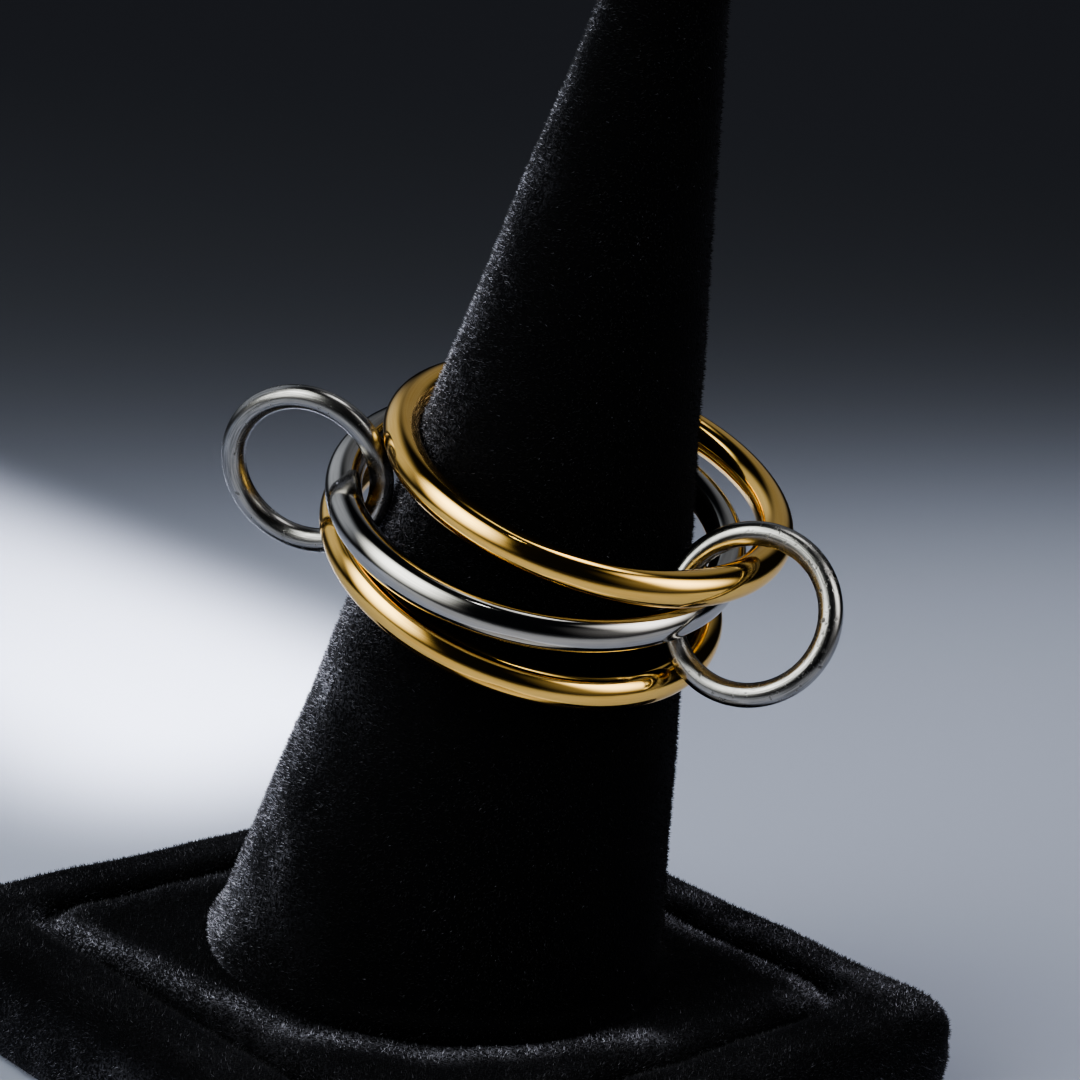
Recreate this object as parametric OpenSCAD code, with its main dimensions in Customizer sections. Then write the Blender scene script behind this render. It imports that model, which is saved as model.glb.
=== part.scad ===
// Interlocking ring on a ring cone.
// Three round-wire bands, gold, silver and gold, are chained by two silver links:
// the right link joins the upper and middle bands, the left link the middle and lower ones.
// The bands lie tilted on a velvet cone that leans to +X on its square base.
// Origin: centre of the base's underside. Millimetres and degrees.

/* [Bands] */
// Bore of each band, about a size 7 ring
band_bore = 17.4; // [17.2:0.1:17.6]
// Wire diameter of each band
band_wire = 1.8; // [1.4:0.1:1.8]

/* [Links] */
// Outer diameter of each link
link_od = 9; // [8.6:0.1:9]
// Wire diameter of each link
link_wire = 1.2; // [0.8:0.1:1.2]

/* [Where the rings lie] */
// Upper band: centre of its bore
upper_centre = [6.2, 1.09, 33.28]; // [-20:0.01:60]
// Upper band: how far its axis leans, and which way it leans from +X
upper_lean = [19.2, -6.4]; // [-180:0.1:180]
// Middle band: centre of its bore
middle_centre = [5.15, -1.23, 31.27]; // [-20:0.01:60]
// Middle band: lean and direction
middle_lean = [19.8, -24.4]; // [-180:0.1:180]
// Lower band: centre of its bore
lower_centre = [3.99, -0.7, 28.43]; // [-20:0.01:60]
// Lower band: lean and direction
lower_lean = [23.6, -7.3]; // [-180:0.1:180]
// Right link: centre of its hole
right_centre = [15.98, 2.9, 28.69]; // [-20:0.01:60]
// Right link: lean and direction
right_lean = [68.1, -65.4]; // [-180:0.1:180]
// Left link: centre of its hole
left_centre = [-3.41, -8.88, 32.22]; // [-20:0.01:60]
// Left link: lean and direction
left_lean = [104.4, -60.3]; // [-180:0.1:180]

/* [Cone] */
// Diameter of the cone at its foot
cone_foot_d = 23.5; // [23:0.1:23.5]
// Angle between the cone's axis and its side
cone_taper = 9.75; // [9.75:0.05:11]
// Angle that the cone's axis leans to +X
cone_lean = 10; // [10:0.5:10.5]
// Radius of the rounded tip
cone_tip_r = 2.5; // [1.5:0.1:3.5]
// Thickness of the gathered welt round the foot
welt_d = 0.8; // [0.6:0.1:1.6]

/* [Base] */
// Side of the square base
base_w = 40; // [36:0.5:44]
// Height of the base
base_h = 6; // [4:0.5:10]
// Radius of the base's upright corners
base_corner_r = 3; // [2:0.1:4]
// Radius of the rolled edge round the top and the bottom
base_edge_r = 1.4; // [0.6:0.1:1.6]
// Side of the square panel inside the groove
panel_w = 31; // [30:0.5:32]
// Width of the groove round the panel
groove_w = 0.9; // [0.5:0.1:1.2]
// Depth of the groove
groove_depth = 0.7; // [0.3:0.1:1]

/* [Hidden] */

gold = [0.86, 0.62, 0.27];
silver = [0.80, 0.80, 0.81];
link_silver = [0.62, 0.63, 0.65];
velvet = [0.03, 0.03, 0.035];

// Circles of this many sides stand for true circles
$fn = 96;
// Sides of a circle where hulled shapes are rounded
edge_sides = 32;

// From the foot's centre up the axis to the point where the cone's sides would meet
cone_point = cone_foot_d / 2 / tan(cone_taper);
// Centre of the rounded tip on the axis
tip_centre = cone_point - cone_tip_r / sin(cone_taper);
// The cone runs this far below the base's top before it is trimmed level
foot_spare = 6;
// A block large enough to trim anything below the foot
trim_w = 80;
// The leaning cone's level section is a near circle, a little behind the axis
welt_ring_r = cone_foot_d / 2 + welt_d / 4;
welt_shift = -0.35;

// A closed ring of round wire, flat about the origin
module wire_ring(mean_r, wire_d) {
    rotate_extrude()
        translate([mean_r, 0]) circle(d = wire_d);
}

// Puts a flat ring at its place: the axis leans by lean[0] towards the direction lean[1]
module laid(centre, lean) {
    translate(centre)
        rotate([0, lean[0], lean[1]])
            children();
}

module band(centre, lean, metal) {
    color(metal)
        laid(centre, lean)
            wire_ring((band_bore + band_wire) / 2, band_wire);
}

module link(centre, lean) {
    color(link_silver)
        laid(centre, lean)
            wire_ring((link_od - link_wire) / 2, link_wire);
}

module upper_band() { band(upper_centre, upper_lean, gold); }

module middle_band() { band(middle_centre, middle_lean, silver); }

module lower_band() { band(lower_centre, lower_lean, gold); }

module right_link() { link(right_centre, right_lean); }

module left_link() { link(left_centre, left_lean); }

// Half outline of the upright cone: sides at the taper angle, and a round tip.
// The tip's arc runs from where it meets the side to the axis.
module cone_outline() {
    side_r = cone_tip_r * cos(cone_taper);
    side_z = tip_centre + cone_tip_r * sin(cone_taper);
    foot_r = (cone_point + foot_spare) * tan(cone_taper);
    polygon([[0, -foot_spare], [foot_r, -foot_spare], [side_r, side_z], [0, side_z]]);
    intersection() {
        translate([0, tip_centre]) circle(r = cone_tip_r);
        translate([0, side_z]) square(2 * cone_tip_r);
    }
}

// The leaning cone and its welt, trimmed level where they stand on the base
module cone() {
    color(velvet)
        translate([0, 0, base_h])
            difference() {
                union() {
                    rotate([0, cone_lean, 0])
                        rotate_extrude() cone_outline();
                    translate([welt_shift, 0, 0])
                        wire_ring(welt_ring_r, welt_d);
                }
                translate([0, 0, -trim_w / 2])
                    cube(trim_w, center = true);
            }
}

// Outline of a square of side w with round corners of radius r
module round_square(w, r) {
    inner = w - 2 * r;
    square([w, inner], center = true);
    square([inner, w], center = true);
    for (x = [-1, 1], y = [-1, 1])
        translate([x * inner / 2, y * inner / 2]) circle(r = r);
}

// A flat-bottomed cushion of side w: upright round corners and rolled edges
module cushion(w, h, corner_r, edge_r) {
    corner_at = w / 2 - corner_r;
    hull()
        for (x = [-1, 1], y = [-1, 1], z = [edge_r, h - edge_r])
            translate([x * corner_at, y * corner_at, z])
                rotate_extrude($fn = edge_sides)
                    translate([corner_r - edge_r, 0]) circle(r = edge_r, $fn = edge_sides);
}

// The ring-shaped channel between the rim and the panel
module groove() {
    translate([0, 0, base_h - groove_depth])
        linear_extrude(2 * groove_depth)
            difference() {
                round_square(panel_w + groove_w, base_corner_r);
                round_square(panel_w - groove_w, base_corner_r - groove_w);
            }
}

module base() {
    color(velvet)
        difference() {
            cushion(base_w, base_h, base_corner_r, base_edge_r);
            groove();
        }
}

upper_band();
middle_band();
lower_band();
right_link();
left_link();
cone();
base();
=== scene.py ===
"""Interlocking ring on a ring cone: three chained bands and two links, on black velvet.

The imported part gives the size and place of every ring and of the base. This script gives the
pieces their finish: polished gold and silver wire, and velvet with a real pile of short fibres.
"""

import math
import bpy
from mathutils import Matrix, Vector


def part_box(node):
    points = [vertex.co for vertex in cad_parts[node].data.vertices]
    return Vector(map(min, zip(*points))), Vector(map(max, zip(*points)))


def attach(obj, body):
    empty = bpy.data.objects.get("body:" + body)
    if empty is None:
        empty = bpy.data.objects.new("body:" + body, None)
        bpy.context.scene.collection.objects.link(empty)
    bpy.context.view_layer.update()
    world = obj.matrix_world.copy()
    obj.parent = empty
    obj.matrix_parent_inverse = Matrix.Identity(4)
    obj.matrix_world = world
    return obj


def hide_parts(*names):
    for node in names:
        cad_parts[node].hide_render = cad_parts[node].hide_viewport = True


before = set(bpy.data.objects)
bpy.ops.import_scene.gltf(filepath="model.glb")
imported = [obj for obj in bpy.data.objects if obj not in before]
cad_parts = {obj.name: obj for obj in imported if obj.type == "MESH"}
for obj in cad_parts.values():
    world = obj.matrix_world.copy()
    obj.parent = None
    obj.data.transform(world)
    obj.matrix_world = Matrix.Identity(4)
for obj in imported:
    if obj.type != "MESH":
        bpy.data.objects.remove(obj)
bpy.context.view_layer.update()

from types import SimpleNamespace

import bpy
import numpy as np
from mathutils import Matrix, Vector

bl_info = {
    "name": "Interlocking ring on a ring cone",
    "version": (1, 0, 0),
    "blender": (4, 5, 0),
    "location": "View3D > Sidebar > Ring",
    "description": "Finishes three chained bands, two links and their velvet stand",
    "category": "Add Mesh",
}

MM = 0.001
BODY = "root"

# Nodes of the frame, by what they are made of
GOLD_BANDS = ("upper_band", "lower_band")
SILVER_BAND = "middle_band"
LINKS = ("right_link", "left_link")

# Height of the base's top and half of its width, in mm
BASE_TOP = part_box("base")[1].z / MM
BASE_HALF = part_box("base")[1].x / MM


# Settings


class MetalSettings(bpy.types.PropertyGroup):
    """Colours, polish and mesh of the wire rings"""

    gold: bpy.props.FloatVectorProperty(
        name="Gold", description="Colour of the upper and lower bands",
        subtype="COLOR", size=3, min=0, max=1, default=(1.0, 0.65, 0.20))
    silver: bpy.props.FloatVectorProperty(
        name="Silver", description="Colour of the middle band",
        subtype="COLOR", size=3, min=0, max=1, default=(0.50, 0.482, 0.456))
    link_silver: bpy.props.FloatVectorProperty(
        name="Link silver", description="Colour of the two links, a little darker",
        subtype="COLOR", size=3, min=0, max=1, default=(0.42, 0.412, 0.402))
    band_roughness: bpy.props.FloatProperty(
        name="Band roughness", description="Roughness of the polished bands",
        subtype="FACTOR", min=0, max=1, default=0.085)
    link_roughness: bpy.props.FloatProperty(
        name="Link roughness", description="Roughness of the satin links",
        subtype="FACTOR", min=0, max=1, default=0.23)
    band_steps: bpy.props.IntProperty(
        name="Steps along a band", description="Mesh steps along the wire of a band",
        min=64, max=512, default=300)
    link_steps: bpy.props.IntProperty(
        name="Steps along a link", description="Mesh steps along the wire of a link",
        min=48, max=400, default=220)
    wire_sides: bpy.props.IntProperty(
        name="Sides of a wire", description="Mesh steps round the wire",
        min=12, max=96, default=38)


class VelvetSettings(bpy.types.PropertyGroup):
    """Sizes of the stand's cone and of its pile, and the velvet's colours"""

    foot_diameter: bpy.props.FloatProperty(
        name="Foot diameter", description="Diameter of the cone at its foot",
        subtype="DISTANCE", precision=4, min=20 * MM, max=26 * MM, default=23.5 * MM)
    taper: bpy.props.FloatProperty(
        name="Taper", description="Angle between the cone's axis and its side",
        subtype="ANGLE", min=math.radians(8), max=math.radians(12),
        default=math.radians(9.75))
    lean: bpy.props.FloatProperty(
        name="Lean", description="Angle that the cone's axis leans to +X",
        subtype="ANGLE", min=0, max=math.radians(15), default=math.radians(10))
    tip_radius: bpy.props.FloatProperty(
        name="Tip radius", description="Radius of the cone's round tip",
        subtype="DISTANCE", precision=4, min=1 * MM, max=4 * MM, default=2.5 * MM)
    roll: bpy.props.FloatProperty(
        name="Foot roll", description="How far the gathered foot stands out",
        subtype="DISTANCE", precision=5, min=0, max=1.2 * MM, default=0.35 * MM)
    pile_length: bpy.props.FloatProperty(
        name="Pile length", description="Length of a pile fibre",
        subtype="DISTANCE", precision=6, min=0.1 * MM, max=0.8 * MM, default=0.24 * MM)
    pile_width: bpy.props.FloatProperty(
        name="Pile width", description="Width of a pile fibre at its root",
        subtype="DISTANCE", precision=6, min=0.02 * MM, max=0.1 * MM, default=0.054 * MM)
    cone_fibres: bpy.props.IntProperty(
        name="Cone fibres", description="Number of fibres in each half of the cone's pile",
        min=1000, max=49000, default=49000)
    base_fibres: bpy.props.IntProperty(
        name="Base fibres", description="Number of fibres in each half of the base's pile",
        min=1000, max=49000, default=46000)
    ground: bpy.props.FloatVectorProperty(
        name="Ground", description="Colour of the cloth between the fibres",
        subtype="COLOR", size=3, min=0, max=1, default=(0.0015, 0.0015, 0.002))
    # Fibre is the colour of a fibre that has no painted sheen
    fibre: bpy.props.FloatVectorProperty(
        name="Fibre", description="Colour of a fibre that isn't brushed up",
        subtype="COLOR", size=3, min=0, max=1, default=(0.005, 0.005, 0.007))
    # Glint is the colour of the painted sheen: fibres and cloth near it as their painted sheen grows
    glint: bpy.props.FloatVectorProperty(
        name="Glint", description="Colour that fibres and cloth near as they are brushed up",
        subtype="COLOR", size=3, min=0, max=1, default=(0.84, 0.84, 1.0))


class StudioSettings(bpy.types.PropertyGroup):
    """Floor, surroundings and camera"""

    floor: bpy.props.FloatVectorProperty(
        name="Floor", description="Colour of the pale floor",
        subtype="COLOR", size=3, min=0, max=1, default=(0.485, 0.522, 0.655))
    front: bpy.props.FloatVectorProperty(
        name="Front", description="Colour of the floor in front of the stand",
        subtype="COLOR", size=3, min=0, max=1, default=(0.53, 0.545, 0.60))
    dim: bpy.props.FloatVectorProperty(
        name="Surroundings", description="Colour of the dim room round the floor",
        subtype="COLOR", size=3, min=0, max=1, default=(0.006, 0.007, 0.009))
    lens: bpy.props.FloatProperty(
        name="Lens", description="Focal length of the camera",
        unit="CAMERA", min=20, max=200, default=97.37)


def in_mm(length):
    """A setting's length in mm, without the stray digits that its short float leaves."""
    return round(length / MM, 5)


# Objects and meshes

# A wave's length is its unevenness's size divided by a number in this range
WAVE_SPREAD = (0.6, 1.6)


def add_object(name, data):
    """Puts a mesh, a light or a camera into the scene as an object."""
    made = bpy.data.objects.new(name, data)
    bpy.context.scene.collection.objects.link(made)
    return made


def new_piece(name, points, faces, smooth=True):
    """A mesh object from an array of points in mm and a list of index arrays, one per face size."""
    mesh = bpy.data.meshes.new(name)
    corners = np.concatenate([f.ravel() for f in faces])
    totals = np.concatenate([np.full(len(f), f.shape[1]) for f in faces])
    starts = np.concatenate([[0], np.cumsum(totals)[:-1]])
    mesh.vertices.add(len(points))
    mesh.vertices.foreach_set("co", (points * MM).astype(np.float32).ravel())
    mesh.loops.add(len(corners))
    mesh.loops.foreach_set("vertex_index", corners.astype(np.int32))
    mesh.polygons.add(len(starts))
    mesh.polygons.foreach_set("loop_start", starts.astype(np.int32))
    mesh.polygons.foreach_set("use_smooth", np.full(len(starts), smooth))
    mesh.update(calc_edges=True)
    return add_object(name, mesh)


def paint(piece, name, values):
    """Writes one number for each point of a piece into an attribute."""
    piece.data.attributes.new(name, "FLOAT", "POINT").data.foreach_set(
        "value", values.astype(np.float32).ravel())


def grid_quads(rows, columns, closed_rows):
    """Corners of a grid's quads. Columns always close; rows close on themselves if asked."""
    row = np.arange(rows if closed_rows else rows - 1)
    here, side = np.meshgrid(row, np.arange(columns), indexing="ij")
    above, next_side = (here + 1) % rows, (side + 1) % columns
    quads = [here * columns + side, here * columns + next_side,
             above * columns + next_side, above * columns + side]
    return np.stack(quads, -1).reshape(-1, 4)


def closed_shell(points, first_pole, last_pole):
    """Points and faces of a grid of rows, closed by a pole below its first row and one above its last.

    The poles are the last two of the points.
    """
    rows, columns = points.shape[:2]
    side = np.arange(columns)
    next_side = (side + 1) % columns
    below, above = rows * columns, rows * columns + 1
    top = (rows - 1) * columns
    first_fan = np.stack([np.full(columns, below), next_side, side], -1)
    last_fan = np.stack([top + side, top + next_side, np.full(columns, above)], -1)
    places = np.vstack([points.reshape(-1, 3), first_pole, last_pole])
    return places, [grid_quads(rows, columns, False), np.vstack([first_fan, last_fan])]


def grid_normals(points):
    """Unit normals of a grid whose columns close: the step round it crossed with the step up it."""
    around = np.roll(points, -1, 1) - np.roll(points, 1, 1)
    up = np.gradient(points, axis=0)
    normal = np.cross(around, up)
    return normal / np.maximum(np.linalg.norm(normal, axis=-1, keepdims=True), 1e-12)


def unevenness(points, size, seed, waves=8):
    """A smooth value at each point, about -1 to 1: a sum of plane waves of about that size in mm."""
    rng = np.random.default_rng(seed)
    ways = rng.normal(size=(waves, 3))
    ways *= 2 * np.pi / size / np.linalg.norm(ways, axis=1, keepdims=True)
    ways *= rng.uniform(*WAVE_SPREAD, (waves, 1))
    phases = rng.uniform(0, 2 * np.pi, waves)
    return np.sin(points @ ways.T + phases).sum(-1) / math.sqrt(waves)


def waved(points, waves, free):
    """A grid's points moved along its normals by slow waves, as far as they are free, 0 to 1."""
    size, height, seed = waves
    lift = unevenness(points, size, seed)[..., None] * height
    return points + lift * free * grid_normals(points)


# Shader node helpers


def new_material(name):
    """An empty node material, as (material, its node tree, its Principled shader)."""
    material = bpy.data.materials.new(name)
    material.use_nodes = True
    return material, material.node_tree, material.node_tree.nodes["Principled BSDF"]


def new_group(name, inputs, outputs):
    """A shader node group with named sockets, as (group, its input node, its output node)."""
    group = bpy.data.node_groups.new(name, "ShaderNodeTree")
    for label, value in inputs.items():
        socket = group.interface.new_socket(label, in_out="INPUT", socket_type="NodeSocketFloat")
        socket.default_value = value
    for label in outputs:
        group.interface.new_socket(label, in_out="OUTPUT", socket_type="NodeSocketFloat")
    return group, group.nodes.new("NodeGroupInput"), group.nodes.new("NodeGroupOutput")


def set_inputs(node, values):
    """Sets a node's inputs, each by its name."""
    for label, value in values.items():
        node.inputs[label].default_value = value


def place_group(tree, group, values):
    """Puts a group into a material's node tree and sets its inputs."""
    node = tree.nodes.new("ShaderNodeGroup")
    node.node_tree = group
    set_inputs(node, values)
    return node


def feed(tree, socket, value):
    """Links another socket into this one, or sets this one to a value."""
    if isinstance(value, bpy.types.NodeSocket):
        tree.links.new(value, socket)
    else:
        socket.default_value = value


def object_place(tree):
    """The socket that gives a point's place in its object, in metres."""
    return tree.nodes.new("ShaderNodeTexCoord").outputs["Object"]


def painted(tree, name, output="Fac"):
    """The socket that gives an attribute's value."""
    node = tree.nodes.new("ShaderNodeAttribute")
    node.attribute_name = name
    return node.outputs[output]


def calculate(tree, operation, first, second):
    """A Math node on two values or sockets. Gives its output."""
    node = tree.nodes.new("ShaderNodeMath")
    node.operation = operation
    feed(tree, node.inputs[0], first)
    feed(tree, node.inputs[1], second)
    return node.outputs[0]


def times(tree, product, *values):
    """The product of two or more values or sockets."""
    for value in values:
        product = calculate(tree, "MULTIPLY", product, value)
    return product


def noise(tree, place, scale, detail, roughness=0.5, fourth=None):
    """A noise texture at a place, and at a fourth coordinate where one is given. Gives its value."""
    node = tree.nodes.new("ShaderNodeTexNoise")
    if fourth is not None:
        node.noise_dimensions = "4D"
        tree.links.new(fourth, node.inputs["W"])
    tree.links.new(place, node.inputs["Vector"])
    feed(tree, node.inputs["Scale"], scale)
    set_inputs(node, {"Detail": detail, "Roughness": roughness})
    return node.outputs["Fac"]


def remap(tree, value, span, result=(0, 1)):
    """A value taken from one span to another, and held there."""
    node = tree.nodes.new("ShaderNodeMapRange")
    for label, number in zip(("From Min", "From Max", "To Min", "To Max"), (*span, *result)):
        node.inputs[label].default_value = number
    tree.links.new(value, node.inputs["Value"])
    return node.outputs["Result"]


def mix_colours(tree, share, first, second):
    """A colour between two others, each a socket or three numbers, by a share. Gives its socket."""
    node = tree.nodes.new("ShaderNodeMix")
    node.data_type = "RGBA"
    feed(tree, node.inputs["Factor"], share)
    for label, colour in (("A", first), ("B", second)):
        is_socket = isinstance(colour, bpy.types.NodeSocket)
        feed(tree, node.inputs[label], colour if is_socket else (*colour, 1))
    return node.outputs["Result"]


def relief(tree, height, depth):
    """A Bump node that raises the surface by a height, where 1 is a depth in mm. Gives its normal."""
    node = tree.nodes.new("ShaderNodeBump")
    set_inputs(node, {"Strength": 1, "Distance": depth * MM})
    tree.links.new(height, node.inputs["Height"])
    return node.outputs["Normal"]


# Metal

# Scales of the noises that place smudges, pits and patches of pits, per metre
SMUDGE_SCALE = 260
PIT_SCALE = 2600
PIT_PATCH_SCALE = 340

# Spans of those noises over which a pit and a patch of pits set in
PIT_SPAN = (0.60, 0.72)
PIT_PATCH_SPAN = (0.42, 0.62)

# How much rougher a pit is, and its depth as a multiple of a hairline's
PIT_ROUGHNESS = 0.25
PIT_DEPTH = 3

# Scale of the hairlines' noise, and how many times finer it is round the wire than along it
HAIR_SCALE = 3
HAIR_FINENESS = 3.5

# Span of the hairlines' noise over which they darken the metal, and of the smudges' over which
# these let them show, from a least share to all
HAIR_SPAN = (0.38, 0.60)
SMUDGE_SPAN = (0.35, 0.65)
SMUDGE_SHOWS = (0.15, 1)

# Colour of a streak, as shares of the metal's own colour
GOLD_STREAK = (0.90, 0.84, 0.72)
SILVER_STREAK = (0.8, 0.8, 0.8)
LINK_STREAK = (0.25, 0.25, 0.25)

# How worn each metal is, and the depth of its hairlines in mm
GOLD_WEAR = {"Smudge": 0.03, "Hairline": 0.5, "Pitting": 0.0}
SILVER_WEAR = {"Smudge": 0.04, "Hairline": 0.6, "Pitting": 0.05}
LINK_WEAR = {"Smudge": 0.12, "Hairline": 2.2, "Pitting": 1.4}
BAND_HAIR_DEPTH = 0.0016
LINK_HAIR_DEPTH = 0.0024


def polish_group():
    """Hand polish on wire: hairlines along it, smudges and pits, as roughness, height and streaks.

    Wire way holds the cosine and sine of the place along the ring and the cosine of the place
    round the wire, and Wire turn the sine of that, so noise on all four has no seam. The
    roughness is the given one, plus the smudges' swing, plus the pits'. The height is the
    hairlines less the pits. A streak is a hairline where the smudges let it show, or a pit.
    """
    found = bpy.data.node_groups.get("polish")
    if found:
        return found
    group, given, result = new_group(
        "polish", {"Roughness": 0.1, "Smudge": 0.03, "Hairline": 0.5, "Pitting": 0.0},
        ("Roughness", "Height", "Streak"))
    place = object_place(group)
    hair = noise(group, painted(group, "wire_way", "Vector"), HAIR_SCALE, detail=4, roughness=0.6,
                 fourth=painted(group, "wire_turn"))
    smudge = noise(group, place, SMUDGE_SCALE, detail=4)
    speckle = remap(group, noise(group, place, PIT_SCALE, detail=3, roughness=0.6), PIT_SPAN)
    patch = remap(group, noise(group, place, PIT_PATCH_SCALE, detail=2), PIT_PATCH_SPAN)
    pits = times(group, speckle, patch, given.outputs["Pitting"])
    swing = times(group, calculate(group, "SUBTRACT", smudge, 0.5), given.outputs["Smudge"], 2)
    rough = calculate(group, "ADD", given.outputs["Roughness"], swing)
    rough = calculate(group, "ADD", rough, times(group, pits, PIT_ROUGHNESS))
    lines = times(group, hair, given.outputs["Hairline"])
    height = calculate(group, "SUBTRACT", lines, times(group, pits, PIT_DEPTH))
    shown = remap(group, smudge, SMUDGE_SPAN, SMUDGE_SHOWS)
    streak = times(group, remap(group, hair, HAIR_SPAN), shown)
    group.links.new(rough, result.inputs["Roughness"])
    group.links.new(height, result.inputs["Height"])
    group.links.new(calculate(group, "MAXIMUM", streak, pits), result.inputs["Streak"])
    return group


def metal_material(name, colour, streak, roughness, wear, hair_depth):
    """Polished metal: one colour with darker streaks along the wire, and the polish group's wear."""
    material, tree, shader = new_material(name)
    polish = place_group(tree, polish_group(), {"Roughness": roughness, **wear})
    darker = [part * share for part, share in zip(colour, streak)]
    tone = mix_colours(tree, polish.outputs["Streak"], colour, darker)
    shader.inputs["Metallic"].default_value = 1
    tree.links.new(tone, shader.inputs["Base Color"])
    tree.links.new(polish.outputs["Roughness"], shader.inputs["Roughness"])
    tree.links.new(relief(tree, polish.outputs["Height"], hair_depth), shader.inputs["Normal"])
    return material


def ring_of(node):
    """Centre, axis, mean radius and wire radius in mm of a ring node, measured on its mesh.

    Its points lie evenly on a torus, so their mean is its centre, and the way in which
    they spread least is its axis.
    """
    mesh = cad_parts[node].data
    points = np.empty(len(mesh.vertices) * 3, np.float32)
    mesh.vertices.foreach_get("co", points)
    # The mesh is loose triangles, so each place, rounded to a ten-thousandth of a mm, counts once
    points = np.unique(points.reshape(-1, 3).round(7), axis=0).astype(float) / MM
    centre = points.mean(0)
    axis = np.linalg.svd(points - centre, full_matrices=False)[2][2]
    axis *= math.copysign(1, axis[2])
    along = (points - centre) @ axis
    reach = np.linalg.norm(points - centre - along[:, None] * axis, axis=1)
    return SimpleNamespace(
        centre=centre, axis=axis,
        mean_radius=(reach.max() + reach.min()) / 2,
        wire_radius=(reach.max() - reach.min()) / 2)


def wire_ring(node, steps, sides, material):
    """A ring of round wire in place of its node.

    The point at angle a along the ring and b round the wire is the centre, plus the mean
    radius plus the wire's radius times cos b outwards, plus its radius times sin b up the axis.
    """
    ring = ring_of(node)
    first = np.cross(ring.axis, (0.0, 1.0, 0.0))
    first /= np.linalg.norm(first)
    second = np.cross(ring.axis, first)
    a = np.arange(steps) * 2 * np.pi / steps
    b = np.arange(sides) * 2 * np.pi / sides
    outward = np.cos(a)[:, None] * first + np.sin(a)[:, None] * second
    reach = ring.mean_radius + ring.wire_radius * np.cos(b)
    points = (ring.centre + reach[:, None, None] * outward
              + (ring.wire_radius * np.sin(b))[:, None, None] * ring.axis)
    piece = new_piece(node + "_wire", points.reshape(-1, 3), [grid_quads(sides, steps, True)])
    cos_b, sin_b = HAIR_FINENESS * np.cos(b)[:, None], HAIR_FINENESS * np.sin(b)[:, None]
    way = np.stack(np.broadcast_arrays(np.cos(a), np.sin(a), cos_b), -1)
    piece.data.attributes.new("wire_way", "FLOAT_VECTOR", "POINT").data.foreach_set(
        "vector", way.astype(np.float32).ravel())
    paint(piece, "wire_turn", np.broadcast_to(sin_b, (sides, steps)))
    piece.data.materials.append(material)
    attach(piece, BODY)
    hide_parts(node)
    return piece


# Velvet

# Scales of the nap's grain on the cloth and on the fibres, and of its slow patches, per metre
GROUND_GRAIN = 7000.0
FIBRE_GRAIN = 4200.0
NAP_PATCH = 160.0

# Span of the patches' noise, and what the patches leave of the grain
NAP_PATCH_SPAN = (0.35, 0.7)
NAP_PATCH_LEAVES = (0.7, 1)

# Span of the nap's mask over which a speckle sets in, and how much of the painted sheen it shows
GROUND_SPECKLE = ((0.42, 0.54), (0.02, 0.4))
FIBRE_SPECKLE = ((0.28, 0.50), (0.35, 1))

# The cloth shows the painted sheen raised to this power, and the nap's bump lifts the cloth by this
# many mm
GROUND_POWER = 1.5
GROUND_RELIEF = 0.08

# Span of a fibre's painted sheen over which it turns glossier, and its roughness at either end
FIBRE_GLOSS = ((0, 0.5), (0.9, 0.35))

# The painted sheen comes and goes by this share, in patches of this many mm
PATCHINESS = 0.15
PATCH_SIZE = 2.0

# The cone's pile has painted sheen, standing in for the left softbox's light seen at a grazing
# angle: full round this heading, and reaching this far in front of it and behind, in degrees
PAINTED_SHEEN_HEADING = -138
PAINTED_SHEEN_FRONT = 28
PAINTED_SHEEN_BEHIND = 75

# The painted sheen's limit wanders by this many degrees, in waves of this many mm
WANDER = 3
WANDER_SIZE = 5.0

# Towards the tip the painted sheen falls by this share, from a height in mm and over so many more
TIP_SHARE = 0.5
TIP_FROM = 43
TIP_OVER = 12

# Each side of the base, and how much painted sheen its pile has on the panel's edge, rim and wall,
# as painted highlights where these face the lights
BASE_SIDES = (
    ((0, -1), 0.12, 0.08, 0.26),
    ((0, 1), 0.9, 0.7, 0.15),
    ((-1, 0), 0.30, 0.20, 0.25),
    ((1, 0), 0.10, 0.10, 0.12),
)

# Where the panel's edge and the rim lie from the middle of the base, and how wide their painted
# highlights are, in mm
PANEL_PAINTED_SHEEN = (14.3, 1.0)
RIM_PAINTED_SHEEN = (17.9, 1.4)

# The wall's painted sheen begins this far below the base's top and sets in over so much more, in mm
WALL_FROM = 0.8
WALL_OVER = 1.5

# How much painted sheen the base has everywhere, and how sharply its sides part at the corners
BASE_PAINTED_SHEEN = 0.04
SIDE_POWER = 6

# A painted highlight line on the base that runs from the panel's corner round the front of the foot:
# its bends, its width in mm and how much painted sheen it has
PAINTED_HIGHLIGHT_LINE = ((-14.8, -15.0), (3.7, -12.9), (8.9, -9.1), (11.1, -5.4), (12.2, -1.5), (13.3, 2.0))
PAINTED_HIGHLIGHT_WIDTH = 0.9
PAINTED_HIGHLIGHT_LIFT = 0.7

# The painted sheen has no side at the very middle of the base, so it is read this far to +X, in mm
OFF_MIDDLE = 0.1

# How far fibres lean: combed round the cone, with their neighbours in waves of so many mm, and alone
CONE_COMB = 0.5
BASE_COMB = 0.0
SHARED_LEAN = 0.28
SHARED_SIZE = 7.0
OWN_LEAN = 0.30

# Lengths and widths of the fibres, as shares of the set ones, and how deep they are rooted, in mm
LENGTH_SPREAD = (0.55, 1.15)
WIDTH_SPREAD = (0.7, 1.3)
ROOT_DEPTH = 0.04

# Share of the fibres that are painted pale, how much more of them where the painted sheen is
# full, how far they show the painted sheen, and how far the others do
PALE_SHARE = 0.07
PALE_MORE = 0.38
PALE_SPREAD = (0.7, 1.8)
PLAIN_LEVEL = 0.15

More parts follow.
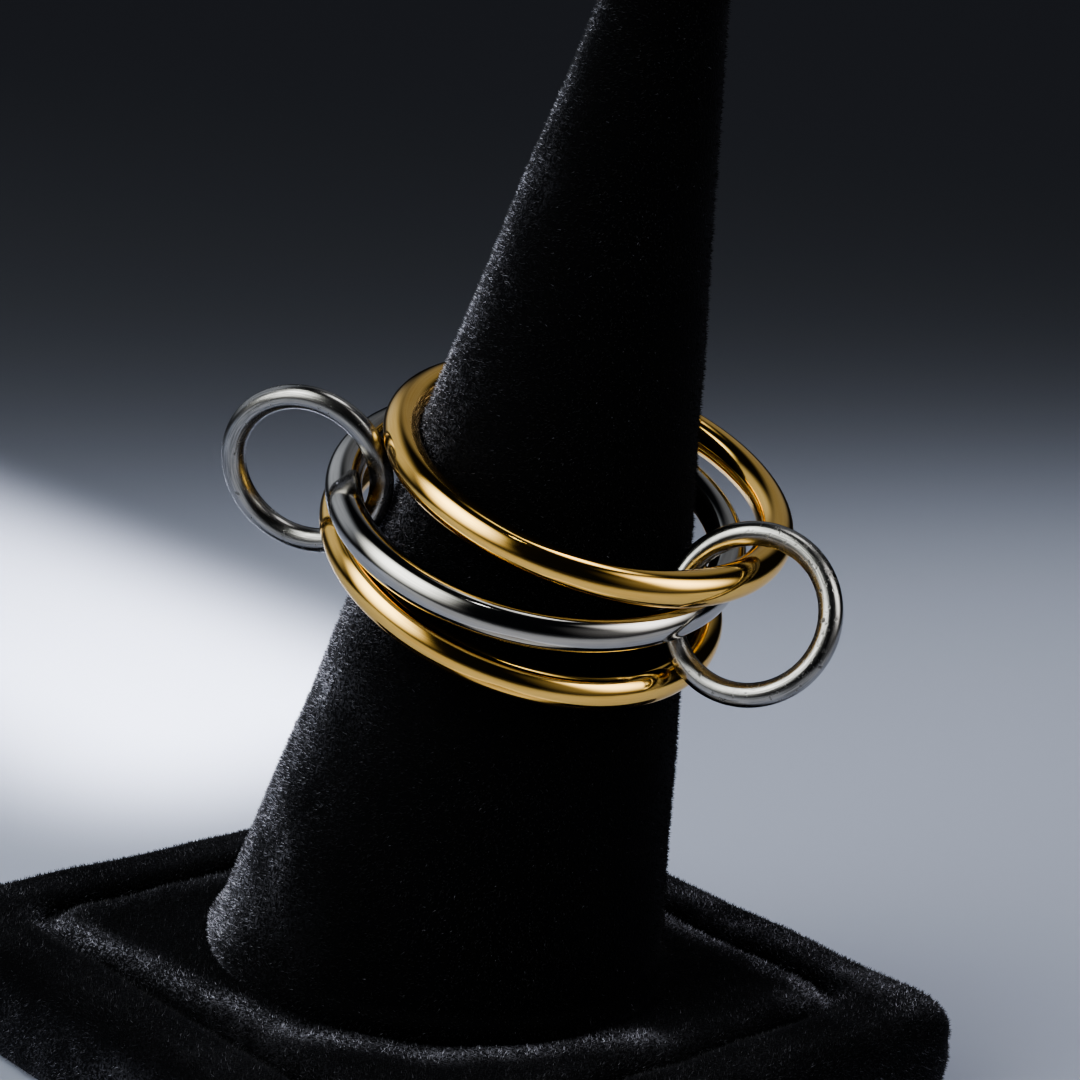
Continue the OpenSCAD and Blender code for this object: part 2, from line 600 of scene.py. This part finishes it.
# Stray fibres painted paler anywhere, as painted glints: those whose chance is above this, and how much
STRAY_FROM = 0.965
STRAY_SPREAD = (0.03, 0.22)

# Mesh steps of the cone, round it, up it and over its tip, and how its rows crowd at the foot
CONE_STEPS = (240, 120, 14)
ROW_POWER = 1.5

# Height in mm over which the gathered foot stands out, and the power that fills it out
ROLL_HEIGHT = 1.5
ROLL_POWER = 0.8

# Waves in the stretched cloth: their size and their height, in mm, and their seed
CONE_WAVES = (9.0, 0.035, 11)
BASE_WAVES = (8.0, 0.06, 5)

# Upright corners of the base: their radius in mm, and the most of the half width that they take
CORNER_RADIUS = 3.0
CORNER_SHARE = 0.8

# Mesh steps along a straight side of the base and round a corner
SQUARE_STEPS = (64, 14)

# No pile grows lower than this on the base, nor higher than this under the cone's foot, in mm
UNDERSIDE = 0.35
UNDER_FOOT = BASE_TOP - 0.5


def nap_group():
    """The velvet's nap: fine grain under slow lighter patches, as a mask that speckles the painted
    sheen, and as a height alone.
    """
    found = bpy.data.node_groups.get("nap")
    if found:
        return found
    group, given, result = new_group(
        "nap", {"Grain": GROUND_GRAIN, "Patch": NAP_PATCH}, ("Mask", "Height"))
    place = object_place(group)
    grain = noise(group, place, given.outputs["Grain"], detail=2)
    patch = noise(group, place, given.outputs["Patch"], detail=3)
    slow = remap(group, patch, NAP_PATCH_SPAN, NAP_PATCH_LEAVES)
    group.links.new(times(group, grain, slow), result.inputs["Mask"])
    group.links.new(grain, result.inputs["Height"])
    return group


def ground_material(velvet):
    """The dense dark cloth under the fibres: near black, and speckled with painted sheen where it has
    some.
    """
    material, tree, shader = new_material("velvet_ground")
    nap = place_group(tree, nap_group(), {"Grain": GROUND_GRAIN, "Patch": NAP_PATCH})
    painted_sheen_raised = calculate(tree, "POWER", painted(tree, "painted_sheen"), GROUND_POWER)
    lift = times(tree, painted_sheen_raised, remap(tree, nap.outputs["Mask"], *GROUND_SPECKLE))
    tone = mix_colours(tree, lift, velvet.ground, velvet.glint)
    set_inputs(shader, {
        "Roughness": 0.95, "Specular IOR Level": 0.1, "Sheen Weight": 0.06,
        "Sheen Roughness": 0.35, "Sheen Tint": (0.55, 0.57, 0.75, 1),
    })
    tree.links.new(tone, shader.inputs["Base Color"])
    tree.links.new(relief(tree, nap.outputs["Height"], GROUND_RELIEF), shader.inputs["Normal"])
    return material


def fibre_material(velvet):
    """Pile fibres: near black, and painted paler and glossier where they have painted sheen."""
    material, tree, shader = new_material("velvet_pile")
    nap = place_group(tree, nap_group(), {"Grain": FIBRE_GRAIN, "Patch": NAP_PATCH})
    speckle = remap(tree, nap.outputs["Mask"], *FIBRE_SPECKLE)
    lift = times(tree, painted(tree, "painted_sheen"), speckle)
    shader.inputs["Specular IOR Level"].default_value = 0.5
    tree.links.new(mix_colours(tree, lift, velvet.fibre, velvet.glint), shader.inputs["Base Color"])
    tree.links.new(remap(tree, lift, *FIBRE_GLOSS), shader.inputs["Roughness"])
    return material


def velvet_materials(velvet):
    """The ground and fibre materials, made once."""
    ground = bpy.data.materials.get("velvet_ground") or ground_material(velvet)
    fibre = bpy.data.materials.get("velvet_pile") or fibre_material(velvet)
    return ground, fibre


def sow(points, keep, count, rng):
    """Evenly random places on a grid surface: cells are drawn by area, then a spot inside each.

    Gives each spot's point and normal. keep weighs each cell: 2 doubles what grows on it,
    and 0 leaves it bare.
    """
    normals = grid_normals(points)
    low, high = slice(None, -1), slice(1, None)
    side = np.roll(points, -1, 1)
    side_normals = np.roll(normals, -1, 1)
    cross = np.cross(side[high] - points[low], points[high] - side[low])
    area = np.linalg.norm(cross, axis=-1) / 2 * keep
    cell = rng.choice(area.size, count, p=(area / area.sum()).ravel())
    a, b = rng.random((2, count, 1))

    def blend(here, next_side):
        """A value at each spot, from those at its cell's four corners."""
        lower = here[low].reshape(-1, 3)[cell] * (1 - a) + next_side[low].reshape(-1, 3)[cell] * a
        upper = here[high].reshape(-1, 3)[cell] * (1 - a) + next_side[high].reshape(-1, 3)[cell] * a
        return lower * (1 - b) + upper * b

    way = blend(normals, side_normals)
    return blend(points, side), way / np.linalg.norm(way, axis=1, keepdims=True)


def patches(root, seed):
    """What is left of the painted sheen at each root: 1, less up to about twice the patches' share."""
    return 1 - PATCHINESS + PATCHINESS * unevenness(root, PATCH_SIZE, seed)


def bell(gap, reach):
    """A bell curve: e to the minus square of the gap over its reach."""
    return np.exp(-(gap / reach) ** 2)


def cone_painted_sheen(root, lean):
    """How much painted sheen the cone's pile has at each root, 0 to 1.

    Round the leaning axis it is full on one side. It falls as one over one plus the angle
    over its width to the fourth, quicker in front than behind, and is a little uneven.
    Near the tip it is halved.
    """
    across = root[:, 0] - (root[:, 2] - BASE_TOP) * math.tan(lean)
    heading = np.arctan2(root[:, 1], across) - math.radians(PAINTED_SHEEN_HEADING)
    wander = math.radians(WANDER) * unevenness(root, WANDER_SIZE, seed=23)
    gap = np.angle(np.exp(1j * heading)) + wander
    width = np.where(gap > 0, math.radians(PAINTED_SHEEN_FRONT), math.radians(PAINTED_SHEEN_BEHIND))
    fall = 1 / (1 + (gap / width) ** 4) * patches(root, seed=21)
    near_tip = np.clip((root[:, 2] - TIP_FROM) / TIP_OVER, 0, 1)
    return np.clip(fall * (1 - TIP_SHARE * near_tip), 0, 1)


def line_gap(spots, line):
    """Distance in mm of each spot from a bent line: the least of those from its straight parts."""
    gaps = []
    for start, end in zip(np.array(line)[:-1], np.array(line)[1:]):
        way = end - start
        share = np.clip((spots - start) @ way / (way @ way), 0, 1)
        gaps.append(np.linalg.norm(spots - start - share[:, None] * way, axis=1))
    return np.min(gaps, axis=0)


def base_painted_sheen(root):
    """How much painted sheen the base's pile has at each root, 0 to 1, as painted highlights on its
    edges.

    There is a bell across the panel's edge, one across the rim and one across the painted
    highlight line, and a step onto the wall. Each side of the square has its own heights for them,
    which meet at the corners.
    """
    out = np.abs(root[:, :2]).max(-1)
    panel_at, panel_reach = PANEL_PAINTED_SHEEN
    rim_at, rim_reach = RIM_PAINTED_SHEEN
    panel = bell(out - panel_at, panel_reach)
    rim = bell(out - rim_at, rim_reach)
    wall = np.clip((BASE_TOP - WALL_FROM - root[:, 2]) / WALL_OVER, 0, 1)
    on_top = root[:, 2] > BASE_TOP - WALL_FROM
    line = bell(line_gap(root[:, :2], PAINTED_HIGHLIGHT_LINE), PAINTED_HIGHLIGHT_WIDTH) * on_top
    lift = BASE_PAINTED_SHEEN + PAINTED_HIGHLIGHT_LIFT * line
    for way, panel_part, rim_part, wall_part in BASE_SIDES:
        side = np.clip(root[:, :2] @ np.array(way) / out, 0, 1) ** SIDE_POWER
        lift = lift + side * (panel_part * panel + rim_part * rim + wall_part * wall)
    return np.clip(lift * patches(root, seed=22), 0, 1)


def pile(name, points, keep, count, velvet, material, seed, comb, painted_sheen):
    """Short pile: closed three-sided spikes that stand on a surface and lean with its nap.

    A spike's tip is its root plus its length along the normal, combed round the upright
    axis, and tilted by a slow wave that all neighbours share and by a random part of its
    own. The more painted sheen a place has, the more of its spikes are painted pale, and the
    paler, and a few stray spikes anywhere are painted paler as glints.
    """
    rng = np.random.default_rng(seed)
    root, normal = sow(points, keep, count, rng)
    shared = np.stack([unevenness(root, SHARED_SIZE, seed + axis, waves=5) for axis in (1, 2, 3)], -1)
    round_way = np.cross(normal, (0.0, 0.0, 1.0))
    way = (normal + comb * round_way + SHARED_LEAN * shared
           + rng.normal(0, OWN_LEAN, (count, 3)))
    way /= np.linalg.norm(way, axis=1, keepdims=True)
    length = in_mm(velvet.pile_length) * rng.uniform(*LENGTH_SPREAD, (count, 1))
    first = np.cross(way, rng.normal(size=(count, 3)))
    first /= np.linalg.norm(first, axis=1, keepdims=True)
    second = np.cross(way, first)
    turn = np.arange(3) * 2 * np.pi / 3
    ring = first[:, None] * np.cos(turn)[:, None] + second[:, None] * np.sin(turn)[:, None]
    width = in_mm(velvet.pile_width) / 2 * rng.uniform(*WIDTH_SPREAD, (count, 1, 1))
    foot = root - ROOT_DEPTH * normal
    corners = foot[:, None] + ring * width
    tips = foot + way * length
    places = np.concatenate([corners, tips[:, None]], 1).reshape(-1, 3)
    spike = np.array([[0, 1, 3], [1, 2, 3], [2, 0, 3], [0, 2, 1]])
    faces = (np.arange(count)[:, None, None] * 4 + spike).reshape(-1, 3)
    piece = new_piece(name, places, [faces], smooth=False)
    # Painted sheen: where the pile has it, more fibres are painted pale, and paler
    lift = painted_sheen(root)
    chance = rng.random(count)
    is_pale = chance < PALE_SHARE + PALE_MORE * lift
    shade = lift * np.where(is_pale, rng.uniform(*PALE_SPREAD, count), PLAIN_LEVEL)
    # A few stray fibres anywhere are painted paler as glints
    shade += rng.uniform(*STRAY_SPREAD, count) * (chance > STRAY_FROM)
    paint(piece, "painted_sheen", np.repeat(np.minimum(shade, 1), 4))
    piece.data.materials.append(material)
    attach(piece, BODY)
    return piece


def cone_grid(velvet):
    """Rows of points of the leaning cone, from its foot to its tip, and its two poles.

    A side point is the point where all sides would meet, plus a length down a straight
    line that turns about the leaning axis. The tip's rows are circles on a ball. Below the
    roll's height a half sine pushes the cloth outwards, where it is gathered under. Slow
    waves lift the cloth, less so over the lowest millimetre.
    """
    around, along, cap = CONE_STEPS
    taper, lean, tip_radius = velvet.taper, velvet.lean, in_mm(velvet.tip_radius)
    foot = np.array([0.0, 0.0, BASE_TOP])
    axis = np.array([math.sin(lean), 0.0, math.cos(lean)])
    first = np.array([math.cos(lean), 0.0, -math.sin(lean)])
    second = np.array([0.0, 1.0, 0.0])
    turn = np.arange(around) * 2 * np.pi / around
    outward = np.cos(turn)[:, None] * first + np.sin(turn)[:, None] * second
    point = foot + axis * in_mm(velvet.foot_diameter) / 2 / math.tan(taper)
    down = math.sin(taper) * outward - math.cos(taper) * axis
    longest = (BASE_TOP - point[2]) / down[:, 2]
    shortest = tip_radius / math.tan(taper)
    share = np.linspace(0, 1, along) ** ROW_POWER
    reach = longest + (shortest - longest) * share[:, None]
    sides = point + reach[..., None] * down
    below = np.clip(1 - (sides[..., 2] - BASE_TOP) / ROLL_HEIGHT, 0, 1)
    swell = in_mm(velvet.roll) * np.sin(np.pi * below ** ROLL_POWER)
    level = outward * (1, 1, 0)
    level /= np.linalg.norm(level, axis=1, keepdims=True)
    sides = sides + swell[..., None] * level
    ball = point - axis * tip_radius / math.sin(taper)
    rise = np.linspace(taper, np.pi / 2, cap + 1)[1:-1]
    tip = ball + tip_radius * (
        np.cos(rise)[:, None, None] * outward + np.sin(rise)[:, None, None] * axis)
    points = np.concatenate([sides, tip])
    free = np.clip(points[..., 2:] - BASE_TOP, 0, 1)
    return waved(points, CONE_WAVES, free), foot, ball + tip_radius * axis


def arc(centre, radii, start, end, steps):
    """Points (half width, height) along an elliptic arc between two angles in degrees."""
    angle = np.radians(np.linspace(start, end, steps))
    return np.column_stack([centre[0] + radii[0] * np.cos(angle), centre[1] + radii[1] * np.sin(angle)])


def base_profile():
    """Half width and height, in mm, of the base's outline rows from its underside to its top.

    Straight stretches join arcs: the lower edge, the wall, the rolled rim, the groove
    and the rounded edge of the panel. The wall swells by a half sine. The last number of
    each stretch counts its points.
    """
    innermost = 0.6
    edge = 1.4
    wall_swell = 0.10
    groove_at = 15.5
    groove_half = 0.30
    groove_depth = 0.75
    rim_round = 1.15
    panel_round = 1.25
    outer = BASE_HALF - edge
    panel_flat = groove_at - groove_half - panel_round
    groove_floor = BASE_TOP - groove_depth
    under = np.linspace((innermost, 0), (outer, 0), 12)[:-1]
    lower_edge = arc((outer, edge), (edge, edge), -90, 0, 8)
    wall = np.linspace((BASE_HALF, edge), (BASE_HALF, BASE_TOP - edge), 8)[1:-1]
    wall[:, 0] += wall_swell * np.sin(np.linspace(0, np.pi, len(wall)))
    rim_out = arc((outer, BASE_TOP - edge), (edge, edge), 0, 90, 10)
    rim_in = arc((groove_at + groove_half + rim_round, groove_floor),
                 (rim_round, groove_depth), 90, 180, 9)
    panel_edge = arc((panel_flat, groove_floor), (panel_round, groove_depth), 0, 90, 9)
    top = np.linspace((panel_flat, BASE_TOP), (innermost, BASE_TOP), 24)[1:]
    return np.vstack([under, lower_edge, wall, rim_out, rim_in, panel_edge, top])


def square_outline(half, corner):
    """Points round a square with round corners, for each half width: straight sides, then arcs.

    Every outline has the same number of points on each side and corner, so rows match.
    """
    flat_steps, corner_steps = SQUARE_STEPS
    share = np.linspace(-1, 1, flat_steps, endpoint=False)
    bend = np.linspace(0, np.pi / 2, corner_steps, endpoint=False)
    inner = (half - corner)[:, None]
    side_x = np.repeat(half[:, None], flat_steps, 1)
    side_y = inner * share
    arc_x = inner + corner[:, None] * np.cos(bend)
    arc_y = inner + corner[:, None] * np.sin(bend)
    x = np.hstack([side_x, arc_x])
    y = np.hstack([side_y, arc_y])
    return np.hstack([x, -y, -x, y]), np.hstack([y, x, -y, -x])


def base_grid():
    """Rows of points of the base: its profile carried round a square with round corners.

    Slow waves lift the cloth, by more the higher it is.
    """
    half, height = base_profile().T
    corner = np.minimum(CORNER_RADIUS, half * CORNER_SHARE)
    x, y = square_outline(half, corner)
    points = np.dstack([x, y, np.repeat(height[:, None], x.shape[1], 1)])
    return waved(points, BASE_WAVES, np.clip(points[..., 2:] / BASE_TOP, 0, 1))


# Stage

# Where the lights look, in mm
RING_CENTRE = Vector((5, 0, 30))

# Name, heading, height, distance, tilt, size across and up, level, soft share of the edge, colour
LIGHTS = (
    ("left_box", -102.5, 46, 348, 15, (420, 650), 5.5, 0.49, (0.97, 1.0, 0.96)),
    ("right_box", 29, 39, 322, 18, (290, 440), 4.2, 0.49, (1.0, 0.99, 0.97)),
    ("right_glow", 14, 22, 330, 13, (520, 480), 0.22, 0.49, (1.0, 1.0, 1.0)),
    ("left_glow", -100, 14, 330, 10, (520, 300), 0.30, 0.49, (1.0, 1.0, 1.0)),
    ("back_panel", -171, 28, 320, 28, (600, 420), 0.60, 0.40, (0.85, 0.91, 1.0)),
    ("far_panel", 118, 36, 340, 36, (420, 420), 0.24, 0.40, (0.90, 0.94, 1.0)),
    ("top_panel", 82, 73, 300, 73, (175, 170), 4.6, 0.49, (1.0, 1.0, 1.0)),
)

# Pools of light on the floor in front and at the right: name, place in mm, degrees and W
POOLS = (
    ("front_pool", Vector((62, -62, 300)), 30, 0.7),
    ("right_pool", Vector((168, 72, 300)), 26, 0.6),
)

# Soft share of a pool's edge, and the radius of its lamp in mm
POOL_BLEND = 0.7
POOL_LAMP = 12

# The band of light on the floor behind the stand: place, size, spread in degrees and level
BAND_AT = Vector((-101, 24, 130))
BAND_SIZE = (125, 34)
BAND_SPREAD = 12
BAND_LEVEL = 4.9

# A low card in front of the cone, which the undersides of the wires reflect
CARD_AT = Vector((14, -14, 7.2))
CARD_SIZE = (24, 24)
CARD_SPREAD = 100
CARD_LEVEL = 0.2
CARD_EDGE = 0.3

# Painted falloff of light: the floor is painted dark along each of these ways, whose length is one
# over the reach in mm, by this power of the place along it
PAINTED_FALLOFF_WAYS = (Vector((-1.22, 0.345, 0)) / 128, Vector((0.788, -0.616, 0)) / 100)
PAINTED_FALLOFF_POWER = 5

# Along the last painted-falloff way, in mm, the floor turns to its front colour from here to here
FRONT_TURN = (15, 45)

# Painted shade and painted glow: colour and glow of the floor where its painted falloff is full
PAINTED_DARK_PAPER = (0.008, 0.009, 0.011)
PAINTED_GLOW = (0.016, 0.017, 0.021)
NO_GLOW = (0, 0, 0)

# How far the floor runs each way, in mm
FLOOR_REACH = 3000.0


def soften(light, share):
    """Makes a softbox fade to nothing over a share of its width and height at each edge.

    Its brightness is a smooth step in from each of its four edges, all multiplied together.
    """
    light.use_nodes = True
    tree = light.node_tree
    spot = tree.nodes.new("ShaderNodeSeparateXYZ")
    tree.links.new(tree.nodes.new("ShaderNodeNewGeometry").outputs["Parametric"], spot.inputs["Vector"])
    steps = []
    for side in (spot.outputs["X"], spot.outputs["Y"]):
        for value in (side, calculate(tree, "SUBTRACT", 1, side)):
            step = remap(tree, value, (0, share))
            step.node.interpolation_type = "SMOOTHERSTEP"
            steps.append(step)
    tree.links.new(times(tree, *steps), tree.nodes["Emission"].inputs["Strength"])


def area_light(name, size, level, spread=180):
    """A rectangular light that faces down and that the camera doesn't see.

    Level is the brightness of its middle, so its power is that times its area times pi.
    Its size is in mm and its spread in degrees.
    """
    data = bpy.data.lights.new(name, "AREA")
    data.shape = "RECTANGLE"
    data.size, data.size_y = size[0] * MM, size[1] * MM
    data.spread = math.radians(spread)
    data.energy = level * math.pi * size[0] * size[1] * MM * MM
    light = add_object(name, data)
    light.visible_camera = False
    return light


def sky_way(heading, height):
    """The unit way to a heading, counted from +X towards +Y, and a height above level, in degrees."""
    turn, rise = math.radians(heading), math.radians(height)
    return Vector((math.cos(turn) * math.cos(rise), math.sin(turn) * math.cos(rise), math.sin(rise)))


def soft_light(name, heading, height, distance, tilt, size, level, edge, colour):
    """A softbox at a heading, a height and a distance in mm from the ring, facing down by its tilt."""
    light = area_light(name, size, level)
    light.data.color = colour
    soften(light.data, edge)
    light.location = (RING_CENTRE + sky_way(heading, height) * distance) * MM
    light.rotation_mode = "QUATERNION"
    light.rotation_quaternion = (-sky_way(heading, tilt)).to_track_quat("-Z", "Y")


def light_pool(name, place, angle, power):
    """A soft spot straight above the floor."""
    data = bpy.data.lights.new(name, "SPOT")
    data.energy = power
    data.spot_size = math.radians(angle)
    data.spot_blend = POOL_BLEND
    data.shadow_soft_size = POOL_LAMP * MM
    add_object(name, data).location = place * MM


def floor_band():
    """A narrow-beamed panel above the floor behind the stand, whose light has a firm edge."""
    light = area_light("floor_band", BAND_SIZE, BAND_LEVEL, BAND_SPREAD)
    light.location = BAND_AT * MM


def low_card():
    """A soft card just above the base that faces up, so wires shine from below too."""
    light = area_light("low_card", CARD_SIZE, CARD_LEVEL, CARD_SPREAD)
    soften(light.data, CARD_EDGE)
    light.location = CARD_AT * MM
    light.rotation_euler = (math.pi, 0, 0)


def along_way(tree, place, way):
    """How far along a way a place lies: the product of the two as vectors. Gives its socket."""
    node = tree.nodes.new("ShaderNodeVectorMath")
    node.operation = "DOT_PRODUCT"
    node.inputs[1].default_value = way / MM
    tree.links.new(place, node.inputs[0])
    return node.outputs["Value"]


def paper_material(colour, front):
    """Pale paper that turns to its front colour, and is painted dark, with a faint painted glow, along
    each painted-falloff way.

    Its pale share is the product, over the ways, of one over one plus a power of the place.
    """
    material, tree, shader = new_material("paper")
    place = object_place(tree)
    fade = 1
    for way in PAINTED_FALLOFF_WAYS:
        along = along_way(tree, place, way)
        far = calculate(tree, "POWER", calculate(tree, "MAXIMUM", along, 0), PAINTED_FALLOFF_POWER)
        fade = calculate(tree, "DIVIDE", fade, calculate(tree, "ADD", far, 1))
    turn = [reach * PAINTED_FALLOFF_WAYS[-1].length for reach in FRONT_TURN]
    pale = mix_colours(tree, remap(tree, along_way(tree, place, PAINTED_FALLOFF_WAYS[-1]), turn), colour, front)
    # The far floor takes the painted dark colour and a faint painted glow
    tree.links.new(mix_colours(tree, fade, PAINTED_DARK_PAPER, pale), shader.inputs["Base Color"])
    tree.links.new(mix_colours(tree, fade, PAINTED_GLOW, NO_GLOW), shader.inputs["Emission Color"])
    set_inputs(shader, {"Emission Strength": 1, "Roughness": 0.7, "Specular IOR Level": 0.3})
    return material


def photo_camera(lens):
    """The camera at the photo's viewing angle: its aim, distance, turn, height and roll."""
    aim = Vector((0.745, 3.540, 28.31))
    distance = 150.0
    azimuth = math.radians(45)
    elevation = math.radians(14.715)
    roll = math.radians(5.832)
    level = Vector((math.cos(azimuth), math.sin(azimuth), 0))
    back = Vector((math.sin(azimuth) * math.cos(elevation),
                   -math.cos(azimuth) * math.cos(elevation), math.sin(elevation)))
    rise = back.cross(level)
    right = level * math.cos(roll) + rise * math.sin(roll)
    up = rise * math.cos(roll) - level * math.sin(roll)
    data = bpy.data.cameras.new("camera")
    data.sensor_width = 36
    data.lens = lens
    data.clip_start, data.clip_end = 5 * MM, 20
    camera = add_object("camera", data)
    turned = Matrix((right, up, back)).transposed().to_4x4()
    camera.matrix_world = Matrix.Translation((aim + back * distance) * MM) @ turned
    bpy.context.scene.camera = camera


# Operators


class RING_OT_gold_bands(bpy.types.Operator):
    """Builds the upper and lower bands in polished gold"""

    bl_idname = "ring.gold_bands"
    bl_label = "Gold bands"

    def execute(self, context):
        metal = context.scene.ring_metal
        gold = metal_material("gold", metal.gold, GOLD_STREAK, metal.band_roughness,
                              GOLD_WEAR, BAND_HAIR_DEPTH)
        for node in GOLD_BANDS:
            wire_ring(node, metal.band_steps, metal.wire_sides, gold)
        return {"FINISHED"}


class RING_OT_silver_band(bpy.types.Operator):
    """Builds the middle band in polished silver"""

    bl_idname = "ring.silver_band"
    bl_label = "Silver band"

    def execute(self, context):
        metal = context.scene.ring_metal
        silver = metal_material("silver", metal.silver, SILVER_STREAK, metal.band_roughness,
                                SILVER_WEAR, BAND_HAIR_DEPTH)
        wire_ring(SILVER_BAND, metal.band_steps, metal.wire_sides, silver)
        return {"FINISHED"}


class RING_OT_links(bpy.types.Operator):
    """Builds the two links in silver that is worn and pitted here and there"""

    bl_idname = "ring.links"
    bl_label = "Links"

    def execute(self, context):
        metal = context.scene.ring_metal
        worn = metal_material("link_silver", metal.link_silver, LINK_STREAK, metal.link_roughness,
                              LINK_WEAR, LINK_HAIR_DEPTH)
        for node in LINKS:
            wire_ring(node, metal.link_steps, metal.wire_sides, worn)
        return {"FINISHED"}


class RING_OT_cone(bpy.types.Operator):
    """Builds the velvet cone with its pile"""

    bl_idname = "ring.cone"
    bl_label = "Velvet cone"

    def execute(self, context):
        velvet = context.scene.ring_velvet
        ground, fibre = velvet_materials(velvet)
        points, foot, tip = cone_grid(velvet)
        places, faces = closed_shell(points, foot, tip)
        cloth = new_piece("cone_cloth", places, faces)
        # The cloth's painted sheen
        paint(cloth, "painted_sheen", cone_painted_sheen(places, velvet.lean))
        cloth.data.materials.append(ground)
        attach(cloth, BODY)
        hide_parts("cone")
        cells = points[:-1]
        # More fibres grow where the cone has painted sheen
        keep = 1 + cone_painted_sheen(cells.reshape(-1, 3), velvet.lean).reshape(cells.shape[:2])
        for half, seed in (("a", 100), ("b", 200)):
            pile("cone_pile_" + half, points, keep, velvet.cone_fibres, velvet, fibre, seed,
                 CONE_COMB, lambda root: cone_painted_sheen(root, velvet.lean))
        return {"FINISHED"}


class RING_OT_base(bpy.types.Operator):
    """Builds the velvet base with its groove, panel and pile"""

    bl_idname = "ring.base"
    bl_label = "Velvet base"

    def execute(self, context):
        velvet = context.scene.ring_velvet
        ground, fibre = velvet_materials(velvet)
        points = base_grid()
        places, faces = closed_shell(points, (0, 0, 0), (0, 0, BASE_TOP))
        cloth = new_piece("base_cloth", places, faces)
        places[-2:, 0] = OFF_MIDDLE
        # The base cloth's painted highlights
        paint(cloth, "painted_sheen", base_painted_sheen(places))
        cloth.data.materials.append(ground)
        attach(cloth, BODY)
        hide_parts("base")
        x, y, z = np.moveaxis(points[:-1], -1, 0)
        under_foot = (np.hypot(x, y) < in_mm(velvet.foot_diameter) / 2) & (z > UNDER_FOOT)
        keep = ~((z < UNDERSIDE) | under_foot)
        for half, seed in (("a", 300), ("b", 400)):
            pile("base_pile_" + half, points, keep, velvet.base_fibres, velvet, fibre, seed,
                 BASE_COMB, base_painted_sheen)
        return {"FINISHED"}


class RING_OT_stage(bpy.types.Operator):
    """Lays the pale floor and sets the soft lights and the camera"""

    bl_idname = "ring.stage"
    bl_label = "Studio"

    def execute(self, context):
        studio = context.scene.ring_studio
        corners = np.array([(-1, -1, 0), (1, -1, 0), (1, 1, 0), (-1, 1, 0)]) * FLOOR_REACH
        floor = new_piece("floor", corners, [np.array([[0, 1, 2, 3]])], smooth=False)
        floor.data.materials.append(paper_material(studio.floor, studio.front))
        world = bpy.data.worlds.new("dim_room")
        world.use_nodes = True
        world.node_tree.nodes["Background"].inputs["Color"].default_value = (*studio.dim, 1)
        context.scene.world = world
        for light in LIGHTS:
            soft_light(*light)
        for pool in POOLS:
            light_pool(*pool)
        floor_band()
        low_card()
        photo_camera(studio.lens)
        context.scene.view_settings.view_transform = "AgX"
        context.scene.view_settings.look = "AgX - Medium High Contrast"
        return {"FINISHED"}


class RING_PT_panel(bpy.types.Panel):
    """Lists the steps that build the ring and its stand"""

    bl_idname = "RING_PT_panel"
    bl_label = "Interlocking ring"
    bl_space_type = "VIEW_3D"
    bl_region_type = "UI"
    bl_category = "Ring"

    def draw(self, context):
        for operator in OPERATORS:
            self.layout.operator(operator.bl_idname)
        for group in SETTINGS:
            settings = getattr(context.scene, group)
            box = self.layout.box()
            for name in settings.__annotations__:
                box.prop(settings, name)


SETTINGS = {"ring_metal": MetalSettings, "ring_velvet": VelvetSettings, "ring_studio": StudioSettings}
OPERATORS = (RING_OT_stage, RING_OT_gold_bands, RING_OT_silver_band, RING_OT_links, RING_OT_cone,
             RING_OT_base)


def register():
    """Makes the settings, the operators and the panel known."""
    for made in (*SETTINGS.values(), *OPERATORS, RING_PT_panel):
        bpy.utils.register_class(made)
    for name, group in SETTINGS.items():
        setattr(bpy.types.Scene, name, bpy.props.PointerProperty(type=group))


def unregister():
    """Takes away what register has made known."""
    for name in SETTINGS:
        delattr(bpy.types.Scene, name)
    for made in (RING_PT_panel, *reversed(OPERATORS), *reversed(SETTINGS.values())):
        bpy.utils.unregister_class(made)


def main():
    """Runs every step."""
    register()
    bpy.ops.ring.stage()
    bpy.ops.ring.gold_bands()
    bpy.ops.ring.silver_band()
    bpy.ops.ring.links()
    bpy.ops.ring.cone()
    bpy.ops.ring.base()


if __name__ == "__main__":
    main()
